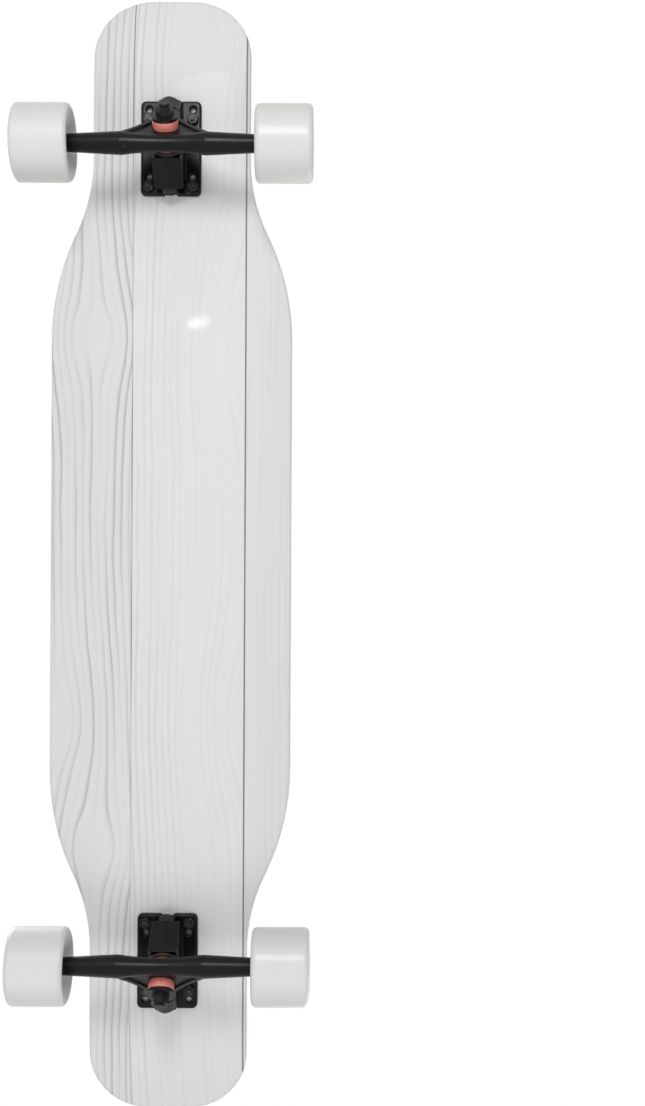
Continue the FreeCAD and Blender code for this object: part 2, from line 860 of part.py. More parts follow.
def add_yoke(body):
    """The A-shaped yoke with the bushings' ring, two ribs on its road side and the pivot nose."""
    axle_x = -size("ring_reach")
    tip = size("yoke_tip")
    wide = size("yoke_half_width")
    narrow = size("yoke_tip_half_width")
    sweep = size("yoke_sweep")
    run = tip - axle_x
    drop = wide - narrow
    chord = root(run * run + drop * drop)
    reach = root(sweep * sweep - chord * chord / 4)
    hub_x = (axle_x + tip) / 2 + reach * drop / chord
    hub_y = (wide + narrow) / 2 + reach * run / chord
    yoke = new_sketch(body, "XY_Plane")
    outline = [(axle_x, -wide), (tip, -narrow), (tip, narrow), (axle_x, wide)]
    draw_loop(yoke, outline, {0: (sweep, (hub_x, -hub_y)), 2: (sweep, (hub_x, hub_y))})
    extrude(body, yoke, size("yoke_thickness"), symmetric=True)
    ring = new_sketch(body, "XY_Plane")
    draw_circle(ring, (0, 0), size("ring_radius"))
    extrude(body, ring, size("yoke_thickness"), symmetric=True)
    rib_sweep = sweep + size("rib_wall")
    rib_wide = hub_y - root(rib_sweep * rib_sweep - (axle_x - hub_x) * (axle_x - hub_x))
    rib_narrow = hub_y - root(rib_sweep * rib_sweep - (tip - hub_x) * (tip - hub_x))
    ribs = new_sketch(body, "XY_Plane")
    for side in (1, -1):
        hub = (hub_x, side * hub_y)
        outer = [(axle_x, side * wide), (tip, side * narrow)]
        inner = [(tip, side * rib_narrow), (axle_x, side * rib_wide)]
        draw_loop(ribs, outer + inner, {0: (sweep, hub), 2: (rib_sweep, hub)})
    extrude(body, ribs, size("yoke_thickness") / 2 + size("rib_height"), backwards=True)
    nose = new_sketch(body, "XY_Plane")
    spots = [
        (size("nose_root_start"), 0),
        (size("nose_root_start"), size("nose_root_radius")),
        (size("nose_root_end"), size("nose_root_radius")),
        (size("nose_shoulder"), size("pivot_radius")),
        (pivot_centre, size("pivot_radius")),
        (size("nose_reach"), 0),
    ]
    draw_loop(nose, spots, {4: (size("pivot_radius"), (pivot_centre, 0))})
    turn(body, nose, "H_Axis")


def bore_ring(body):
    """The hole for the kingpin and the two recesses that the bushings sit in."""
    recess = bushing_radius + size("ring_relief")
    bore = size("ring_bore_radius")
    sketch = new_sketch(body, "XZ_Plane")
    draw_loop(sketch, [
        (0, -tower_seat), (recess, -tower_seat), (recess, -ring_seat), (bore, -ring_seat),
        (bore, ring_seat), (recess, ring_seat), (recess, tower_seat), (0, tower_seat),
    ])
    turn(body, sketch, kind="Groove")


def bore_axle(body):
    sketch = new_sketch(body, "XZ_Plane")
    draw_circle(sketch, (-size("ring_reach"), 0), axle_bore)
    extrude(body, sketch, None, kind="Pocket", symmetric=True)


def hanger(end):
    body = new_body(f"{end}_hanger")
    add_beam(body)
    add_yoke(body)
    bore_ring(body)
    bore_axle(body)
    return place(body, TRUCKS[end], STEER_FRAME)


def axle(end):
    chamfer = size("axle_chamfer")
    spots = [
        (0, -axle_end),
        (axle_radius - chamfer, -axle_end),
        (axle_radius, chamfer - axle_end),
        (axle_radius, axle_end - chamfer),
        (axle_radius - chamfer, axle_end),
        (0, axle_end),
    ]
    return place(turned(f"{end}_axle", [(spots, {})]), TRUCKS[end], AXLE_FRAMES[1])


def speed_rings(end):
    """The thin washers on both sides of each wheel's bearings."""
    outer = axle_bore + size("speed_ring_wall")
    spans = ((hanger_end, inner_bearing), (bearings_end, axle_nut_seat))
    loops = [ring_loop(axle_bore, outer, side * low, side * high) for low, high in spans for side in (1, -1)]
    return place(turned(f"{end}_speed_rings", loops), TRUCKS[end], AXLE_FRAMES[1])


def axle_nuts(end):
    body = new_body(f"{end}_axle_nuts")
    features = hex_nut(
        body, (0, 0), axle_nut_seat, size("axle_nut_height"), size("axle_nut_width"), axle_bore, False
    )
    repeat_mirrored(body, features, "XY_Plane")
    return place(body, TRUCKS[end], AXLE_FRAMES[1])


# Wheels and their bearings

bearing_radius = size("bearing_diameter") / 2
ball_radius = size("ball_diameter") / 2
race_radius = ball_radius + size("ball_play")
race_half_width = root(race_radius * race_radius - size("race_depth") * size("race_depth"))
outer_land = size("ball_pitch_radius") + size("race_depth")
inner_land = size("ball_pitch_radius") - size("race_depth")
core_start = inner_bearing - size("core_proud")
core_stop = bearings_end + size("core_proud")


def tyre(wheel):
    """The cast tyre, with rounded lips and sides that dish in to the core."""
    radius = size("wheel_diameter") / 2
    lip = size("wheel_lip")
    middle = (inner_bearing + bearings_end) / 2 + size("wheel_offset")
    inner_face = middle - size("wheel_width") / 2
    outer_face = middle + size("wheel_width") / 2
    bore = size("core_radius") + size("bond_gap")
    spots = [
        (bore, core_start),
        (radius - lip, inner_face),
        (radius, inner_face + lip),
        (radius, outer_face - lip),
        (radius - lip, outer_face),
        (bore, core_stop),
    ]
    arcs = {
        1: (lip, (radius - lip, inner_face + lip)),
        3: (lip, (radius - lip, outer_face - lip)),
    }
    return turned(f"{wheel}_tyre", [(spots, arcs)])


def core(wheel):
    """The hub, with a seat for each bearing and a shoulder between them."""
    seat = bearing_radius + size("bond_gap")
    shoulder = bearing_radius - size("core_shoulder")
    inner_end = inner_bearing + size("bearing_width")
    spots = [
        (seat, core_start), (size("core_radius"), core_start),
        (size("core_radius"), core_stop), (seat, core_stop),
        (seat, outer_bearing), (shoulder, outer_bearing),
        (shoulder, inner_end), (seat, inner_end),
    ]
    return turned(f"{wheel}_core", [(spots, {})])


def race_ring(name, back, land):
    """Two bearing rings, each between its back and a land with a groove for the balls."""
    loops = []
    for start in BEARING_STARTS:
        stop = start + size("bearing_width")
        centre = start + size("bearing_width") / 2
        spots = [
            (back, start), (back, stop), (land, stop),
            (land, centre + race_half_width), (land, centre - race_half_width), (land, start),
        ]
        loops.append((spots, {3: (race_radius, (size("ball_pitch_radius"), centre))}))
    return turned(name, loops)


def bearing_shields(wheel):
    outer = outer_land - size("bond_gap")
    inner = inner_land + size("shield_play")
    loops = []
    for start in BEARING_STARTS:
        low = start + size("shield_recess")
        high = start + size("bearing_width") - size("shield_recess")
        loops.append(ring_loop(inner, outer, low, low + size("shield_thickness")))
        loops.append(ring_loop(inner, outer, high - size("shield_thickness"), high))
    return turned(f"{wheel}_bearing_shields", loops)


def bearing_balls(wheel, frames):
    """The balls of both bearings and the crown cages that space them."""
    pitch = size("ball_pitch_radius")
    half_step = math.pi / BALL_COUNT
    cage_low = ball_radius + size("ball_play")
    cage_high = cage_low + size("cage_thickness")
    half_wall = size("cage_wall") / 2
    centres = [start + size("bearing_width") / 2 for start in BEARING_STARTS]
    cage_loops = [
        ring_loop(pitch - half_wall, pitch + half_wall, centre + cage_low, centre + cage_high)
        for centre in centres
    ]
    cage = turned(f"{wheel}_cages", cage_loops)
    pieces = [place(cage, *frames)]
    for centre in centres:
        post = new_sketch(cage, "XY_Plane", centre)
        post_spot = (pitch * math.cos(half_step), pitch * math.sin(half_step))
        draw_circle(post, post_spot, size("cage_post_radius"))
        repeat_round(cage, [extrude(cage, post, cage_high)], BALL_COUNT)
        for index in range(BALL_COUNT):
            angle = 2 * half_step * index
            ball = doc.addObject("Part::Sphere", f"{wheel}_ball")
            ball.setExpression("Radius", ball_radius.text)
            spot = (pitch * math.cos(angle), pitch * math.sin(angle), centre)
            pieces.append(place(ball, *frames, placement(spot, (0, 0, 1), 0)))
    compound = doc.addObject("Part::Compound", f"{wheel}_bearing_balls")
    compound.Label = f"{wheel}_bearing_balls"
    compound.Links = pieces
    return compound


def make_wheel(end, side_name):
    """A wheel with its bearings and spacer. The rear truck is turned round, so its sides swap."""
    wheel = f"{end}_{side_name}"
    side = 1 if (end == "front") == (side_name == "left") else -1
    frames = (TRUCKS[end], AXLE_FRAMES[side])
    spacer_radius = axle_bore + size("spacer_wall")
    spacer_loop = ring_loop(axle_bore, spacer_radius, inner_bearing + size("bearing_width"), outer_bearing)
    pieces = [
        tyre(wheel),
        core(wheel),
        race_ring(f"{wheel}_bearing_outer_rings", bearing_radius, outer_land),
        race_ring(f"{wheel}_bearing_inner_rings", axle_bore, inner_land),
        bearing_shields(wheel),
        turned(f"{wheel}_bearing_spacer", [spacer_loop]),
    ]
    for piece in pieces:
        place(piece, *frames)
    return pieces + [bearing_balls(wheel, frames)]


def make_truck(end):
    return [
        baseplate(end),
        pivot_cup(end),
        kingpin(end),
        kingpin_nut(end),
        cup_washers(end),
        bushing("boardside_bushing", end, ring_seat, ring_seat + size("boardside_length")),
        bushing("roadside_bushing", end, -road_washer_top, -ring_seat),
        truck_bolts(end),
        truck_nuts(end),
        hanger(end),
        axle(end),
        axle_nuts(end),
        speed_rings(end),
    ]


def check(nodes):
    """Stop if any object failed or any piece has no sound shape."""
    failed = [item.Label for item in doc.Objects if {"Invalid", "Error"} & set(item.State)]
    unsound = [node.Label for node in nodes if node.Shape.isNull() or not node.Shape.isValid()]
    if failed or unsound:
        raise RuntimeError(f"failed: {failed}, unsound: {unsound}")


def main():
    nodes = make_board()
    for end in TRUCKS:
        nodes += make_truck(end)
        for side_name in ("left", "right"):
            nodes += make_wheel(end, side_name)
    doc.recompute()
    check(nodes)
    os.makedirs("parts", exist_ok=True)
    for node in nodes:
        node.Shape.exportStep(f"parts/{node.Label}.step")
        print(node.Label, len(node.Shape.Solids), round(node.Shape.Volume, 1))


main()
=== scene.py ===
import math

import bmesh
import bpy
from mathutils import Matrix, Vector


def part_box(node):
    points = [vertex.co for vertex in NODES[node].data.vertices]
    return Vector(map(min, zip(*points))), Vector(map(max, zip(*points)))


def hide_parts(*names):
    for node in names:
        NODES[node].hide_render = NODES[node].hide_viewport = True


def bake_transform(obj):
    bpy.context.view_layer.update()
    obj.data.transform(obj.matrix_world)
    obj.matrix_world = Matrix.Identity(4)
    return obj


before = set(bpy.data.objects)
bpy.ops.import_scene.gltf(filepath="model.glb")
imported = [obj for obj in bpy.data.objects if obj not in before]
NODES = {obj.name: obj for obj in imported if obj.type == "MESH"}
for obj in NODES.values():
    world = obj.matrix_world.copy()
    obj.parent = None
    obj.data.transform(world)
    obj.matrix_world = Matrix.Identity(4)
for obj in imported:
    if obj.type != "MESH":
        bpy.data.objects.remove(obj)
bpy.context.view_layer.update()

bl_info = {
    "name": "Longboard",
    "version": (1, 0, 0),
    "blender": (4, 5, 0),
    "location": "View3D > Sidebar > Longboard",
    "description": "Dresses a longboard skateboard: deck, grip tape, trucks, wheels and a studio",
    "category": "Object",
}

ENDS = {"front": 1, "rear": -1}
WHEELS = [f"{end}_{side}" for end in ENDS for side in ("left", "right")]

# The lowest height of the deck, in metres
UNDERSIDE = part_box("deck")[0].z

# Where the trucks steer: the pivot axis leans up from the axle through the middle of the hanger's ring
PIVOT_LEAN = math.radians(48)
AXLE_X, AXLE_Z = 0.370, 0.035
RING_REACH = 0.025
RING_X = AXLE_X + RING_REACH * math.cos(PIVOT_LEAN)
RING_Z = AXLE_Z + RING_REACH * math.sin(PIVOT_LEAN)


# Settings that a user would change


def color(name, description, default):
    """A colour that the panel offers."""
    return bpy.props.FloatVectorProperty(
        name=name, description=description, subtype="COLOR", size=3, min=0, max=1, default=default
    )


def length(name, description, default):
    """A length in metres that the panel offers."""
    return bpy.props.FloatProperty(
        name=name, description=description, default=default, unit="LENGTH", precision=4
    )


class DeckLook(bpy.types.PropertyGroup):
    """Paint, plies and grip tape of the deck"""

    wash: color("Wash", "Pale paint over the underside's planks", (0.745, 0.745, 0.745))
    grain: color("Grain", "Paint that has worn thin along the grain", (0.33, 0.33, 0.335))
    seam: color("Seam", "Dark joint between two planks", (0.075, 0.075, 0.08))
    seam_low: length("Right seam", "Place of the thin seam across the deck", -0.036)
    seam_high: length("Left seam", "Place of the dark seam across the deck", 0.071)
    maple: color("Maple", "Plies whose grain runs along the deck", (0.70, 0.48, 0.235))
    cross_ply: color("Cross ply", "Plies whose grain runs across the deck", (0.52, 0.33, 0.15))
    plies: bpy.props.IntProperty(
        name="Plies", description="Layers of veneer in the deck", default=7, min=3
    )
    grit: color("Grit", "Abrasive of the grip tape", (0.006, 0.006, 0.0063))


class TruckLook(bpy.types.PropertyGroup):
    """Castings, hardware and bushings of the trucks"""

    coating: color("Coating", "Black coating of the castings", (0.0025, 0.0025, 0.0026))
    hardware: color("Hardware", "Blackened bolts, nuts and washers", (0.008, 0.008, 0.0083))
    steel: color("Steel", "Bare axles and axle nuts", (0.55, 0.55, 0.56))
    bushing: color("Bushing", "Urethane of the bushings", (0.95, 0.31, 0.26))
    cast_grain: length("Cast grain", "How finely the castings' rounded edges are drawn", 0.0007)


class WheelLook(bpy.types.PropertyGroup):
    """Tyres, hubs and bearing shields of the wheels"""

    urethane: color("Urethane", "Poured urethane of the tyres", (0.70, 0.70, 0.69))
    hub: color("Hub", "Moulded core of the wheels", (0.70, 0.70, 0.69))
    shield: color("Shield", "Rubber shields of the bearings", (0.02, 0.02, 0.021))


class StudioLook(bpy.types.PropertyGroup):
    """Floor, surrounding light and camera of the studio"""

    floor: color("Floor", "Pale floor under the board", (0.94, 0.94, 0.94))
    ambient: color("Ambient light", "Soft light from all round", (0.45, 0.45, 0.45))
    distance: length("Camera distance", "From the camera to the deck's underside", 1.400)
    aside: length("Camera offset", "How far the camera stands to the board's left", 0.1445)
    along: length("Camera advance", "How far the camera stands towards the nose", 0.0024)
    lens: bpy.props.FloatProperty(name="Lens", description="Focal length of the camera", default=48.17)
    roll: bpy.props.FloatProperty(
        name="Roll", description="Turn of the camera about its axis",
        subtype="ANGLE", default=math.radians(0.27),
    )


# Shader building

# Sockets of the node that mixes two colours
MIX_SHARE, MIX_LOW, MIX_HIGH, MIX_RESULT = 0, 6, 7, 2
# Levels between which soft noise shows as clouds
WIDE_CLOUD, CLOUD = (0.3, 0.8), (0.35, 0.75)


class Value:
    """A socket of a finish, with the arithmetic that patterns are written in."""

    def __init__(self, finish, socket):
        self.finish = finish
        self.socket = socket

    def math(self, operation, *values):
        return self.finish.add("ShaderNodeMath", {"operation": operation}, values)

    def __add__(self, other):
        return self.math("ADD", self, other)

    def __radd__(self, other):
        return self.math("ADD", other, self)

    def __sub__(self, other):
        return self.math("SUBTRACT", self, other)

    def __rsub__(self, other):
        return self.math("SUBTRACT", other, self)

    def __mul__(self, other):
        return self.math("MULTIPLY", self, other)

    def __rmul__(self, other):
        return self.math("MULTIPLY", other, self)

    def __truediv__(self, other):
        return self.math("DIVIDE", self, other)

    def __mod__(self, other):
        return self.math("FLOORED_MODULO", self, other)

    def __gt__(self, other):
        return self.math("GREATER_THAN", self, other)

    def __abs__(self):
        return self.math("ABSOLUTE", self)

    def root(self):
        return self.math("SQRT", self)

    def at_least(self, low):
        return self.math("MAXIMUM", self, low)

    def fade(self, start, stop):
        """Rises smoothly from 0 at start to 1 at stop."""
        return self.finish.add(
            "ShaderNodeMapRange", {"interpolation_type": "SMOOTHSTEP"},
            {"Value": self, "From Min": start, "From Max": stop},
        )


class Finish:
    """A procedural material, or the light of the studio's surroundings, under construction."""

    def __init__(self, block):
        block.use_nodes = True
        self.block = block
        self.tree = block.node_tree
        self.tree.nodes.clear()

    def add_node(self, kind, settings, inputs):
        """A node of that kind with its settings, and its inputs set or linked."""
        node = self.tree.nodes.new(kind)
        for name, setting in settings.items():
            setattr(node, name, setting)
        pairs = inputs.items() if isinstance(inputs, dict) else enumerate(inputs)
        for key, value in pairs:
            if isinstance(value, Value):
                self.tree.links.new(value.socket, node.inputs[key])
            else:
                node.inputs[key].default_value = value
        return node

    def add(self, kind, settings, inputs, output=0):
        """One output of a new node."""
        return Value(self, self.add_node(kind, settings, inputs).outputs[output])

    def place(self):
        """Where a point of the piece lies, along, across and up, in metres."""
        here = self.add("ShaderNodeTexCoord", {}, {}, "Object")
        return [self.add("ShaderNodeSeparateXYZ", {}, [here], axis) for axis in range(3)]

    def noise(self, spot, scale=1.0, detail=2.0, roughness=0.5):
        """Soft noise. A larger scale makes it finer."""
        vector = self.add("ShaderNodeCombineXYZ", {}, spot)
        inputs = {"Vector": vector, "Scale": scale, "Detail": detail, "Roughness": roughness}
        return self.add("ShaderNodeTexNoise", {}, inputs)

    def streaks(self, spot, scales, detail=2.0):
        """Soft noise drawn out by a scale of its own along each axis."""
        return self.noise([axis * scale for axis, scale in zip(spot, scales)], detail=detail)

    def cells(self, spot, scale, output):
        """Random cells: the distance from a cell's heart, or a colour for each cell."""
        vector = self.add("ShaderNodeCombineXYZ", {}, spot)
        return self.add("ShaderNodeTexVoronoi", {}, {"Vector": vector, "Scale": scale}, output)

    def cell_share(self, spot, scale):
        """A share between 0 and 1, the same all over a cell and random from cell to cell."""
        return self.add("ShaderNodeSeparateColor", {}, [self.cells(spot, scale, "Color")], 0)

    def mix(self, share, low, high):
        """The colour that runs from low to high as the share goes from 0 to 1."""
        first, second = (tone if isinstance(tone, Value) else (*tone, 1.0) for tone in (low, high))
        inputs = {MIX_SHARE: share, MIX_LOW: first, MIX_HIGH: second}
        return self.add("ShaderNodeMix", {"data_type": "RGBA"}, inputs, MIX_RESULT)

    def bump(self, height, depth, strength):
        """A surface raised by the height, which counts in units of the depth in metres."""
        inputs = {"Height": height, "Distance": depth, "Strength": strength}
        return self.add("ShaderNodeBump", {}, inputs)

    def shade(self, **sockets):
        """Ends the finish with a surface shader, whose sockets are named with _ for each space."""
        inputs = {name.replace("_", " "): value for name, value in sockets.items()}
        surface = self.add("ShaderNodeBsdfPrincipled", {}, inputs)
        self.add_node("ShaderNodeOutputMaterial", {}, {"Surface": surface})
        return self.block


def new_finish(name):
    """An empty material to build a finish in."""
    return Finish(bpy.data.materials.new(name))


def paint(node, material):
    """Gives a solid of the frame its finish."""
    slots = NODES[node].data.materials
    slots.clear()
    slots.append(material)


# Deck and grip tape

# The deck's pressed shape, as the solids have it, in metres
DECK_THICKNESS = 0.011
CONCAVE_FLAT = 0.080
CONCAVE_RADIUS = 0.317
KICK_START = 0.432
KICK_RADIUS = 0.280
# Heights above the underside between which its paint gives way to bare plies
PAINT_EDGE = (0.0018, 0.0026)

# Knots in the plank print: plank, counted from the deck's right, place along and across the deck, size,
# and stretch along the grain
KNOTS = (
    (0, 0.207, -0.073, 0.027, 1.3),
    (0, -0.157, -0.113, 0.022, 1.6),
    (0, -0.279, -0.070, 0.026, 1.3),
    (1, 0.205, 0.086, 0.036, 2.0),
    (1, -0.150, 0.088, 0.036, 2.0),
    (1, 0.478, 0.031, 0.020, 1.6),
)
# Shares of a knot's size between which the lines of the grain come back
KNOT_HEART, KNOT_RIM = 0.3, 1.25
# Growth rings in a metre of plank, and the shares of a ring over which its line darkens and then ends
RINGS = 150.0
RING_DARKENS, RING_ENDS = (0.30, 0.88), (0.90, 1.0)
# How far the rings shiver, and shift from plank to plank, in rings
RING_SHIVER, PLANK_SHIFT = 0.55, 0.37
# How far the grain wanders, how much further on the deck's left, and where that side sets in, in metres
WANDER, LEFT_WANDER, LEFT_SIDE = 0.010, 0.020, (0.0, 0.070)
# How bold the lines are, how much more on the right plank and on the right side, and where that side ends
BOLD, BOLD_RIGHT_PLANK, BOLD_RIGHT_SIDE, RIGHT_SIDE = 0.16, 0.46, 0.40, (-0.030, 0.016)
# Share of a line that is left where it is faintest, and inside a knot
FAINTEST_LINE, KNOT_LINE = 0.10, 0.12
# Share of the paint that the lines, the fibres, the clouds and the age of the outer planks wear away
LINE_WEAR, FIBRE_WEAR, CLOUD_WEAR, OUTER_WEAR = 0.55, 0.11, 0.06, 0.05
# Half the width of the two seams, in metres, the share of it that is fully dark, and the seams' tint
THIN_SEAM, DARK_SEAM, SEAM_CORE, SEAM_TINT = 0.0007, 0.0010, 0.4, 0.80
# The thin seam's least strength and what noise adds, and the row of noise that it follows along the deck
SEAM_LEAST, SEAM_MORE, SEAM_NOISE_ROW = 0.30, 0.60, (0.05, 0.225)
# Heights of the fibres and the seams beside the lines
FIBRE_RELIEF, SEAM_RELIEF = 0.15, 2.0
PORE = (0.16, 0.09, 0.04)
GLUE_LINE = (0.12, 0.07, 0.035)

# Grains and glinting flakes of the grip tape in a metre, and the tones that they and dust mix in; the
# flakes' pale tone is a painted glint
GRAINS, FLAKES = 1500.0, 520.0
GRIT_CREST = (0.030, 0.030, 0.031)
TAPE_DUST = (0.060, 0.060, 0.058)
# Pale tone of the glinting flakes: a painted glint, not the grain's own colour
PAINTED_GLINT = (0.60, 0.60, 0.61)


def ply_depth(x, y, z):
    """How far a point is above the deck's underside, measured square to its concave and kicks."""
    past_kick = (abs(x) - KICK_START).at_least(0)
    below_centre = (UNDERSIDE + KICK_RADIUS) - z
    level = KICK_RADIUS - (past_kick * past_kick + below_centre * below_centre).root()
    past_flat = (abs(y) - CONCAVE_FLAT / 2).at_least(0)
    below_rail = CONCAVE_RADIUS - level
    return CONCAVE_RADIUS - (past_flat * past_flat + below_rail * below_rail).root()


def grain_flow(finish, x, y, plank):
    """The place across the planks as the grain bends round knots, and 0 in a knot or 1 away from it."""
    reach = WANDER + LEFT_WANDER * y.fade(*LEFT_SIDE)
    wander = finish.streaks((x, y, plank), (4.2, 4.0, 1.7), detail=1.0) - 0.5
    flow = y + wander * reach
    clear = 1.0
    for knot_plank, knot_x, knot_y, size, stretch in KNOTS:
        along = (x - knot_x) / stretch
        across = y - knot_y
        spread = along * along + across * across
        here = 1 - (abs(plank - knot_plank) > 0.5)
        flow = flow - here * across * (size * size) / (spread + size * size)
        inside = 1 - spread.root().fade(KNOT_HEART * size, KNOT_RIM * size)
        clear = clear * (1 - here * inside)
    return flow, clear


def seam_line(y, seam, half_width):
    """1 along a seam between two planks, fading to 0 beside it."""
    return 1 - abs(y - seam).fade(half_width * SEAM_CORE, half_width)


def plank_print(finish, look, x, y):
    """The washed planks: their colour, the height of the grain under the paint, and the paint's wear."""
    past_low, past_high = y > look.seam_low, y > look.seam_high
    plank = past_low + past_high
    right_plank = 1 - past_low
    outer_plank = 1 - (past_low - past_high)
    flow, clear = grain_flow(finish, x, y, plank)
    shiver = finish.streaks((x, flow, plank), (16.0, 60.0, 1.0)) - 0.5
    count = flow * RINGS + shiver * RING_SHIVER + plank * PLANK_SHIFT
    share = count % 1
    ring = count - share
    edge = share.fade(*RING_DARKENS) * (1 - share.fade(*RING_ENDS))
    strength = finish.streaks((x, ring, plank), (3.0, 5.3, 5.1), detail=1.0).fade(0.34, 0.66)
    right_side = 1 - y.fade(*RIGHT_SIDE)
    bold = BOLD + BOLD_RIGHT_PLANK * right_plank + BOLD_RIGHT_SIDE * right_side
    faded = FAINTEST_LINE + (1 - FAINTEST_LINE) * strength
    thinned = KNOT_LINE + (1 - KNOT_LINE) * clear
    line = edge * edge * faded * thinned * bold
    fibre = finish.streaks((x, flow, plank), (9.0, 900.0, 1.0))
    cloud = finish.streaks((x, y, plank), (2.2, 7.0, 2.0), detail=3.0)
    fading = finish.noise((x, *SEAM_NOISE_ROW), scale=4.0, detail=1.0).fade(0.36, 0.60)
    thin_seam = seam_line(y, look.seam_low, THIN_SEAM) * (SEAM_LEAST + SEAM_MORE * fading)
    seams = thin_seam.at_least(seam_line(y, look.seam_high, DARK_SEAM))
    worn = line * LINE_WEAR + (fibre - 0.5) * FIBRE_WEAR
    worn = (worn + cloud.fade(*CLOUD) * CLOUD_WEAR + OUTER_WEAR * outer_plank).at_least(0)
    tone = finish.mix(worn, look.wash, look.grain)
    tone = finish.mix(seams * SEAM_TINT, tone, look.seam)
    height = FIBRE_RELIEF * fibre - line - SEAM_RELIEF * seams
    return tone, height, worn


def deck_finish(look):
    """Washed planks below, lacquered maple plies round the rim and plain maple under the grip tape."""
    finish = new_finish("washed_planks")
    x, y, z = finish.place()
    depth = ply_depth(x, y, z)
    tone, height, worn = plank_print(finish, look, x, y)
    layer = depth * (look.plies / DECK_THICKNESS)
    turn = (layer % 2) > 1
    fibre = finish.streaks((x, y, z), (60.0, 60.0, 1500.0), detail=3.0)
    pores = finish.noise((x, y, z), scale=900.0)
    glue = abs((layer % 1) - 0.5).fade(0.46, 0.5)
    wood = finish.mix(turn, look.maple, look.cross_ply)
    wood = finish.mix(fibre.fade(0.3, 0.75) * 0.35, wood, look.cross_ply)
    wood = finish.mix((pores > 0.62) * turn * 0.5, wood, PORE)
    wood = finish.mix(glue * 0.35, wood, GLUE_LINE)
    rim = depth.fade(*PAINT_EDGE)
    relief = finish.bump(height * (1 - rim) + fibre * rim * 0.3, depth=0.00025, strength=0.55)
    return finish.shade(
        Base_Color=finish.mix(rim, tone, wood),
        Roughness=0.48 + worn * 0.12,
        Normal=relief,
        Coat_Weight=0.05,
        Coat_Roughness=0.05,
        Specular_IOR_Level=0.2,
    )


def grip_finish(look):
    """Black abrasive sheet: packed grains, and here and there a smoother grain with a painted glint."""
    finish = new_finish("grip_grit")
    spot = finish.place()
    grain = finish.cells(spot, GRAINS, "Distance")
    shade = finish.cell_share(spot, GRAINS)
    chosen = finish.cell_share(spot, FLAKES).fade(0.90, 1.0)
    heart = 1 - finish.cells(spot, FLAKES, "Distance").fade(0.1, 0.3)
    flake_and_painted_glint = chosen * heart
    dust = finish.noise(spot, scale=9.0, detail=4.0, roughness=0.6)
    tone = finish.mix(shade.fade(0.3, 1.0) * 0.5, look.grit, GRIT_CREST)
    tone = finish.mix(dust.fade(0.45, 0.8) * 0.10, tone, TAPE_DUST)
    # Painted glint: the chosen grains get a pale tone that stands for light glinting off them, while
    # their lower roughness below is real
    tone = finish.mix(flake_and_painted_glint, tone, PAINTED_GLINT)
    return finish.shade(
        Base_Color=tone,
        Roughness=0.85 - flake_and_painted_glint * 0.55,
        Normal=finish.bump(1 - grain, depth=0.00025, strength=0.8),
        Specular_IOR_Level=0.15,
    )


class LONGBOARD_OT_deck(bpy.types.Operator):
    """Finish the pressed deck with its plank print and bare rim"""

    bl_idname = "longboard.deck"
    bl_label = "Deck"

    def execute(self, context):
        paint("deck", deck_finish(context.scene.longboard_deck))
        return {"FINISHED"}


class LONGBOARD_OT_grip_tape(bpy.types.Operator):
    """Finish the grip tape on the top of the deck"""

    bl_idname = "longboard.grip_tape"
    bl_label = "Grip tape"

    def execute(self, context):
        paint("grip_tape", grip_finish(context.scene.longboard_deck))
        return {"FINISHED"}


# Trucks

# Castings: the reach within which faces join, in metres, how far and how often the skin is smoothed,
# and the share of its faces that is kept
JOIN_REACH = 1e-6
SMOOTH_FACTOR, SMOOTH_PASSES = 0.5, 5
FACES_KEPT = 0.5
COATING_HAZE = (0.006, 0.0059, 0.0057)
# Tone of small lighter grey specks scattered over the coating
COATING_SPECK = (0.16, 0.16, 0.16)

# Screw threads and the spanner's scratches, in metres
PLATE_THICKNESS = 0.006
BOLT_PITCH, KINGPIN_PITCH = 0.0008, 0.00106
SCRATCH_DEPTH = 0.00001
OXIDE_WORN = (0.024, 0.0235, 0.023)
BOLT_HEAD_WORN = (0.075, 0.074, 0.072)
OXIDE_RUBBED = (0.24, 0.24, 0.245)
STEEL_HAZE = (0.34, 0.34, 0.345)

# Bushings, by the heights up the kingpin at which the board holds them and the hanger's ring meets them
BUSHINGS = {"boardside_bushing": (0.018, 0.003), "roadside_bushing": (-0.0142, -0.003)}
BUSHING_BORE, BUSHING_BELLY, BUSHING_SHOULDER = 0.00495, 0.01195, 0.0113
BUSHING_STEPS = 16
BUSHING_CLOUD = (0.66, 0.16, 0.13)
# Sides of a turned piece, and the reach within which its first and last corners join, in metres
TURNED_SIDES = 72
TURNED_REACH = 1e-7


def coating_finish(look):
    """Black coating over a casting: a little orange peel, hazy clouds and small lighter grey specks."""
    finish = new_finish("black_coating")
    spot = finish.place()
    peel = finish.noise(spot, scale=1400.0)
    cloud = finish.noise(spot, scale=60.0, detail=3.0)
    pale_speck = finish.noise(spot, scale=240.0, detail=1.0).fade(0.76, 0.80)
    tone = finish.mix(cloud.fade(0.4, 0.8) * 0.5, look.coating, COATING_HAZE)
    tone = finish.mix(pale_speck * 0.4, tone, COATING_SPECK)
    return finish.shade(
        Base_Color=tone,
        Roughness=0.26 + cloud * 0.10,
        Normal=finish.bump(peel, depth=0.00006, strength=0.30),
        Specular_IOR_Level=0.19,
    )


def thread_height(along, start, pitch):
    """The height of a screw thread, as a share of its pitch, that begins at a start along its axis."""
    return abs((along / pitch) % 1 - 0.5) * (along > start)


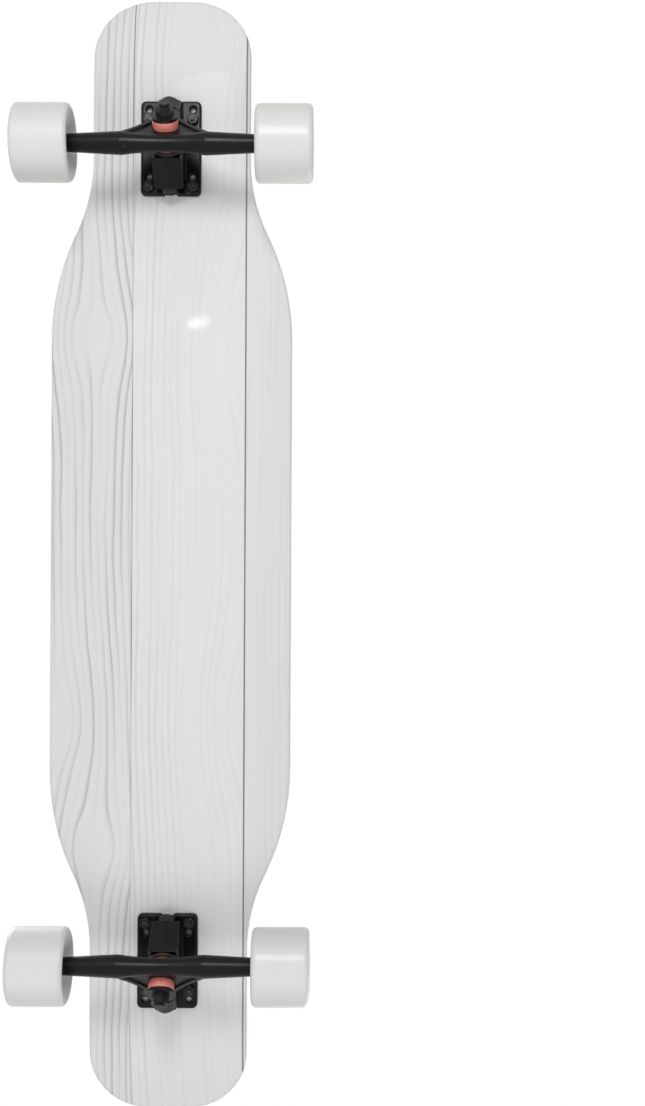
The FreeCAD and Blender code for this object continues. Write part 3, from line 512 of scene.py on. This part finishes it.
def blackened_finish(look, name="blackened_steel", threads=None, worn=OXIDE_WORN):
    """Black oxide on steel, worn in clouds to another tone. threads gives a thread's height at a spot."""
    finish = new_finish(name)
    spot = finish.place()
    cloud = finish.noise(spot, scale=320.0, detail=3.0)
    scratch = finish.streaks(spot, (300.0, 300.0, 5200.0))
    rub = scratch.fade(0.60, 0.74) * 0.35
    tone = finish.mix(cloud.fade(*CLOUD), look.hardware, worn)
    tone = finish.mix(rub, tone, OXIDE_RUBBED)
    relief = scratch * SCRATCH_DEPTH
    if threads:
        relief = relief + threads(spot)
    return finish.shade(
        Base_Color=tone,
        Metallic=0.55,
        Roughness=0.34 + cloud * 0.18 - rub * 0.2,
        Normal=finish.bump(relief, depth=1.0, strength=0.7),
    )


def bolt_thread(spot):
    """Thread of the truck bolts, whose tails point down."""
    below = UNDERSIDE - spot[2]
    return BOLT_PITCH * thread_height(below, PLATE_THICKNESS, BOLT_PITCH)


def kingpin_thread(spot):
    """Thread of the kingpins' lower ends."""
    outward = abs(spot[0]) - RING_X
    up = spot[2] - RING_Z
    down = outward * math.sin(PIVOT_LEAN) - up * math.cos(PIVOT_LEAN)
    return KINGPIN_PITCH * thread_height(down, 0.0, KINGPIN_PITCH)


def steel_finish(look):
    """Turned steel with fine rings left by the tool."""
    finish = new_finish("turned_steel")
    spot = finish.place()
    rings = finish.streaks(spot, (40.0, 6000.0, 40.0))
    cloud = finish.noise(spot, scale=150.0)
    tone = finish.mix(cloud.fade(*WIDE_CLOUD) * 0.4, look.steel, STEEL_HAZE)
    return finish.shade(
        Base_Color=tone,
        Metallic=1.0,
        Roughness=0.24 + rings * 0.14,
        Normal=finish.bump(rings, depth=0.00002, strength=0.5),
    )


def bushing_finish(look):
    """Poured urethane, a little cloudy and dull."""
    finish = new_finish("bushing_urethane")
    spot = finish.place()
    cloud = finish.noise(spot, scale=130.0, detail=3.0)
    skin = finish.noise(spot, scale=1500.0)
    tone = finish.mix(cloud.fade(*CLOUD) * 0.20, look.bushing, BUSHING_CLOUD)
    return finish.shade(
        Base_Color=tone,
        Roughness=0.38 + cloud * 0.14,
        Normal=finish.bump(skin, depth=0.00004, strength=0.4),
        Coat_Weight=0.15,
        Coat_Roughness=0.25,
    )


def soften(node, grain):
    """Rounds a casting's edges as its mould does, with modifiers over the solid."""
    casting = NODES[node]
    weld = casting.modifiers.new("join_faces", "WELD")
    weld.merge_threshold = JOIN_REACH
    remesh = casting.modifiers.new("cast_skin", "REMESH")
    remesh.mode = "VOXEL"
    remesh.voxel_size = grain
    remesh.use_smooth_shade = True
    smooth = casting.modifiers.new("round_edges", "SMOOTH")
    smooth.factor = SMOOTH_FACTOR
    smooth.iterations = SMOOTH_PASSES
    thin = casting.modifiers.new("thin_out", "DECIMATE")
    thin.ratio = FACES_KEPT


def kingpin_frame(way):
    """The ring's middle as a frame whose z runs up the kingpin. way is 1 in front and -1 behind."""
    turn = Matrix.Rotation(-way * (math.pi / 2 - PIVOT_LEAN), 4, "Y")
    return Matrix.Translation((way * RING_X, 0, RING_Z)) @ turn


def spun_piece(name, profile, matrix):
    """A ring of revolution: the profile's (radius, height) corners turned about the frame's z."""
    shape = bmesh.new()
    corners = [shape.verts.new((radius, 0, height)) for radius, height in profile]
    edges = [shape.edges.new(pair) for pair in zip(corners, corners[1:] + corners[:1])]
    bmesh.ops.spin(
        shape, geom=corners + edges, cent=(0, 0, 0), axis=(0, 0, 1), dvec=(0, 0, 0),
        angle=2 * math.pi, steps=TURNED_SIDES, use_merge=True, use_duplicate=False,
    )
    bmesh.ops.remove_doubles(shape, verts=shape.verts, dist=TURNED_REACH)
    bmesh.ops.recalc_face_normals(shape, faces=shape.faces)
    for face in shape.faces:
        face.smooth = True
    bmesh.ops.transform(shape, matrix=matrix, verts=shape.verts)
    mesh = bpy.data.meshes.new(name)
    shape.to_mesh(mesh)
    shape.free()
    piece = bpy.data.objects.new(name, mesh)
    bpy.context.scene.collection.objects.link(piece)
    return piece


def bushing_profile(low, high):
    """Half the section of a bushing: a barrel with soft shoulders round the kingpin's bore."""
    shares = [count / BUSHING_STEPS for count in range(BUSHING_STEPS + 1)]
    taper = BUSHING_BELLY - BUSHING_SHOULDER
    radii = [BUSHING_BELLY - taper * (2 * share - 1) ** 4 for share in shares]
    heights = [low + share * (high - low) for share in shares]
    return [(BUSHING_BORE, low), *zip(radii, heights), (BUSHING_BORE, high)]


class LONGBOARD_OT_castings(bpy.types.Operator):
    """Round and coat the baseplates and hangers"""

    bl_idname = "longboard.castings"
    bl_label = "Castings"

    def execute(self, context):
        look = context.scene.longboard_trucks
        coating = coating_finish(look)
        for end in ENDS:
            for casting in ("baseplate", "hanger"):
                paint(f"{end}_{casting}", coating)
                soften(f"{end}_{casting}", look.cast_grain)
        return {"FINISHED"}


class LONGBOARD_OT_bushings(bpy.types.Operator):
    """Turn the soft bushings, held by the board at one end and by the hanger at the other"""

    bl_idname = "longboard.bushings"
    bl_label = "Bushings"

    def execute(self, context):
        urethane = bushing_finish(context.scene.longboard_trucks)
        for end, way in ENDS.items():
            kingpin = kingpin_frame(way)
            for name, (held, seat) in BUSHINGS.items():
                profile = bushing_profile(min(held, seat), max(held, seat))
                piece = spun_piece(f"{end}_{name}_urethane", profile, kingpin)
                piece.data.materials.append(urethane)
                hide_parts(f"{end}_{name}")
                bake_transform(piece)
        return {"FINISHED"}


class LONGBOARD_OT_hardware(bpy.types.Operator):
    """Finish the bolts, nuts, washers, kingpins, axles and pivot cups"""

    bl_idname = "longboard.hardware"
    bl_label = "Hardware"

    def execute(self, context):
        look = context.scene.longboard_trucks
        blackened = blackened_finish(look)
        steel = steel_finish(look)
        finishes = {
            "truck_bolts": blackened_finish(look, "truck_bolt_steel", bolt_thread, BOLT_HEAD_WORN),
            "kingpin": blackened_finish(look, "kingpin_steel", kingpin_thread),
            "truck_nuts": blackened, "kingpin_nut": blackened, "cup_washers": blackened,
            "axle": steel, "axle_nuts": steel, "speed_rings": steel,
            "pivot_cup": rubber_finish("pivot_cup_rubber", context.scene.longboard_wheels.shield),
        }
        for end in ENDS:
            for piece, finish in finishes.items():
                paint(f"{end}_{piece}", finish)
        return {"FINISHED"}


# Wheels and bearings

# Radii between which a wheel's side turns into its tread, in metres
TREAD_EDGE = (0.0340, 0.0348)
URETHANE_CLOUD = (0.61, 0.60, 0.585)
ROAD_DIRT = (0.40, 0.38, 0.36)
HUB_CLOUD = (0.56, 0.55, 0.53)
BEARING_STEEL = (0.62, 0.62, 0.63)
BEARING_HAZE = (0.48, 0.48, 0.49)
RUBBER_DUST = (0.05, 0.049, 0.047)


def urethane_finish(look):
    """Satin poured urethane whose tread has been scuffed duller by the ground."""
    finish = new_finish("wheel_urethane")
    x, y, z = finish.place()
    along = abs(x) - AXLE_X
    up = z - AXLE_Z
    radius = (along * along + up * up).root()
    tread = radius.fade(*TREAD_EDGE)
    scuff = finish.streaks((x, y, z), (70.0, 2600.0, 70.0))
    cloud = finish.noise((x, y, z), scale=55.0, detail=3.0)
    speck = finish.noise((x, y, z), scale=420.0).fade(0.68, 0.76) * tread
    tone = finish.mix(cloud.fade(*WIDE_CLOUD) * 0.12, look.urethane, URETHANE_CLOUD)
    tone = finish.mix(speck * 0.16, tone, ROAD_DIRT)
    return finish.shade(
        Base_Color=tone,
        Roughness=0.26 + tread * (0.06 + scuff * 0.10) + cloud * 0.05,
        Normal=finish.bump(scuff * tread, depth=0.00003, strength=0.35),
        Coat_Weight=0.08,
        Coat_Roughness=0.12,
        Specular_IOR_Level=0.40,
    )


def hub_finish(look):
    """Moulded hub with a fine satin skin."""
    finish = new_finish("hub_nylon")
    spot = finish.place()
    skin = finish.noise(spot, scale=1900.0)
    cloud = finish.noise(spot, scale=90.0, detail=3.0)
    tone = finish.mix(cloud.fade(*WIDE_CLOUD) * 0.2, look.hub, HUB_CLOUD)
    return finish.shade(
        Base_Color=tone,
        Roughness=0.40 + cloud * 0.12,
        Normal=finish.bump(skin, depth=0.00004, strength=0.5),
    )


def bearing_finish():
    """Ground and polished bearing steel."""
    finish = new_finish("bearing_steel")
    spot = finish.place()
    rings = finish.streaks(spot, (50.0, 9000.0, 50.0))
    cloud = finish.noise(spot, scale=260.0)
    tone = finish.mix(cloud.fade(*WIDE_CLOUD), BEARING_STEEL, BEARING_HAZE)
    return finish.shade(
        Base_Color=tone,
        Metallic=1.0,
        Roughness=0.14 + rings * 0.10,
        Normal=finish.bump(rings, depth=0.00001, strength=0.5),
    )


def rubber_finish(name, tone):
    """Matte moulded rubber with a fine skin."""
    finish = new_finish(name)
    spot = finish.place()
    skin = finish.noise(spot, scale=2200.0)
    cloud = finish.noise(spot, scale=140.0, detail=3.0)
    return finish.shade(
        Base_Color=finish.mix(cloud.fade(*WIDE_CLOUD) * 0.5, tone, RUBBER_DUST),
        Roughness=0.62 + cloud * 0.18,
        Normal=finish.bump(skin, depth=0.00004, strength=0.5),
    )


class LONGBOARD_OT_wheels(bpy.types.Operator):
    """Finish the urethane tyres and their hubs"""

    bl_idname = "longboard.wheels"
    bl_label = "Wheels"

    def execute(self, context):
        look = context.scene.longboard_wheels
        urethane = urethane_finish(look)
        hub = hub_finish(look)
        for wheel in WHEELS:
            paint(f"{wheel}_tyre", urethane)
            paint(f"{wheel}_core", hub)
        return {"FINISHED"}


class LONGBOARD_OT_bearings(bpy.types.Operator):
    """Finish the bearings' rings, balls, shields and spacers"""

    bl_idname = "longboard.bearings"
    bl_label = "Bearings"

    def execute(self, context):
        steel = bearing_finish()
        shield = rubber_finish("shield_rubber", context.scene.longboard_wheels.shield)
        for wheel in WHEELS:
            for piece in ("outer_rings", "inner_rings", "balls", "spacer"):
                paint(f"{wheel}_bearing_{piece}", steel)
            paint(f"{wheel}_bearing_shields", shield)
        return {"FINISHED"}


# Studio

WHITE = (1.0, 1.0, 1.0, 1.0)
# The floor's size, and the distances from the board over which it goes white, in metres
FLOOR_SIZE = 6
FLOOR_WHITENS = (0.6, 1.8)
# Lamps: place, width and depth in metres, power in watts, and whether reflections show them
LAMPS = {
    "fill_below": ((-1.10, 0.00, -1.80), (1.6, 1.6), 16.5, False),
    "band_below": ((0.98, -0.01, -1.45), (0.33, 0.60), 11.5, True),
    "spark_below": ((0.447, -0.099, -1.36), (0.042, 0.016), 0.27, True),
    "key_above": ((0.9, -1.3, 1.9), (1.6, 1.6), 29, True),
    "fill_above": ((-1.4, 1.0, 1.6), (2.0, 2.0), 18, True),
}


def world_light(ambient):
    """White where the camera or a reflection sees the surroundings, and softer as light on the board."""
    light = Finish(bpy.data.worlds.new("studio"))
    rays = [f"Is {ray} Ray" for ray in ("Camera", "Glossy", "Transmission")]
    camera, glossy, transmission = (light.add("ShaderNodeLightPath", {}, {}, ray) for ray in rays)
    soft = light.add("ShaderNodeBackground", {}, {"Color": (*ambient, 1.0)})
    white = light.add("ShaderNodeBackground", {}, {"Color": WHITE})
    seen = camera.at_least(glossy).at_least(transmission)
    blend = light.add("ShaderNodeMixShader", {}, [seen, soft, white])
    light.add_node("ShaderNodeOutputWorld", {}, {"Surface": blend})
    return light.block


def floor_finish(tone):
    """A pale floor that goes white far from the board, and is clear from below to show the underside."""
    finish = new_finish("studio_floor")
    x, y = finish.place()[:2]
    camera = finish.add("ShaderNodeLightPath", {}, {}, "Is Camera Ray")
    far = (x * x + y * y).root().fade(*FLOOR_WHITENS)
    back = finish.add("ShaderNodeNewGeometry", {}, {}, "Backfacing")
    pale = finish.add("ShaderNodeBsdfDiffuse", {}, {"Color": (*tone, 1.0)})
    white = finish.add("ShaderNodeEmission", {}, {"Color": WHITE})
    clear = finish.add("ShaderNodeBsdfTransparent", {}, {})
    upper = finish.add("ShaderNodeMixShader", {}, [far * camera, pale, white])
    surface = finish.add("ShaderNodeMixShader", {}, [back, upper, clear])
    finish.add_node("ShaderNodeOutputMaterial", {}, {"Surface": surface})
    return finish.block


class LONGBOARD_OT_stage(bpy.types.Operator):
    """Set up the floor, the lamps and the camera"""

    bl_idname = "longboard.stage"
    bl_label = "Stage"

    def execute(self, context):
        scene = context.scene
        look = scene.longboard_studio
        scene.world = world_light(look.ambient)
        scene.view_settings.view_transform = "Standard"
        self.add_floor(scene, look)
        for name, (place, spread, power, glossy) in LAMPS.items():
            self.add_lamp(scene, name, Vector(place), spread, power, glossy)
        self.add_camera(scene, look)
        return {"FINISHED"}

    def add_floor(self, scene, look):
        """A floor under the wheels that takes the board's shadow, casts none and isn't mirrored."""
        shape = bmesh.new()
        bmesh.ops.create_grid(shape, x_segments=1, y_segments=1, size=FLOOR_SIZE)
        mesh = bpy.data.meshes.new("studio_floor")
        shape.to_mesh(mesh)
        shape.free()
        mesh.materials.append(floor_finish(look.floor))
        floor = bpy.data.objects.new("studio_floor", mesh)
        scene.collection.objects.link(floor)
        floor.visible_shadow = False
        floor.visible_diffuse = False
        floor.visible_glossy = False

    def add_lamp(self, scene, name, place, spread, power, glossy):
        """A soft lamp that points at the middle of the floor."""
        light = bpy.data.lights.new(name, "AREA")
        light.shape = "ELLIPSE"
        light.size, light.size_y = spread
        light.energy = power
        lamp = bpy.data.objects.new(name, light)
        lamp.location = place
        lamp.rotation_mode = "QUATERNION"
        lamp.rotation_quaternion = (-place).to_track_quat("-Z", "Y")
        lamp.visible_camera = False
        lamp.visible_glossy = glossy
        scene.collection.objects.link(lamp)

    def add_camera(self, scene, look):
        """Below the board and looking up, with the nose at the top of the picture."""
        data = bpy.data.cameras.new("camera")
        data.lens = look.lens
        camera = bpy.data.objects.new("camera", data)
        right, up, back = Vector((0, 1, 0)), Vector((1, 0, 0)), Vector((0, 0, -1))
        aim = Matrix((right, up, back)).transposed().to_4x4()
        spot = Matrix.Translation((look.along, look.aside, UNDERSIDE - look.distance))
        camera.matrix_world = spot @ aim @ Matrix.Rotation(look.roll, 4, "Z")
        scene.collection.objects.link(camera)
        scene.camera = camera


# The panel, and the order in which the board is dressed

STEPS = (
    LONGBOARD_OT_deck,
    LONGBOARD_OT_grip_tape,
    LONGBOARD_OT_castings,
    LONGBOARD_OT_bushings,
    LONGBOARD_OT_hardware,
    LONGBOARD_OT_wheels,
    LONGBOARD_OT_bearings,
    LONGBOARD_OT_stage,
)
LOOKS = {
    "longboard_deck": DeckLook,
    "longboard_trucks": TruckLook,
    "longboard_wheels": WheelLook,
    "longboard_studio": StudioLook,
}


class LONGBOARD_PT_panel(bpy.types.Panel):
    """Settings of the longboard and the steps that dress it"""

    bl_label = "Longboard"
    bl_idname = "LONGBOARD_PT_panel"
    bl_space_type = "VIEW_3D"
    bl_region_type = "UI"
    bl_category = "Longboard"

    def draw(self, context):
        for name, look in LOOKS.items():
            box = self.layout.box()
            for setting in look.__annotations__:
                box.prop(getattr(context.scene, name), setting)
        for step in STEPS:
            self.layout.operator(step.bl_idname)


def register():
    for name, look in LOOKS.items():
        bpy.utils.register_class(look)
        setattr(bpy.types.Scene, name, bpy.props.PointerProperty(type=look))
    for step in (*STEPS, LONGBOARD_PT_panel):
        bpy.utils.register_class(step)


def unregister():
    for step in (LONGBOARD_PT_panel, *reversed(STEPS)):
        bpy.utils.unregister_class(step)
    for name, look in LOOKS.items():
        delattr(bpy.types.Scene, name)
        bpy.utils.unregister_class(look)


def main():
    register()
    for step in STEPS:
        group, name = step.bl_idname.split(".")
        getattr(getattr(bpy.ops, group), name)()


if __name__ == "__main__":
    main()
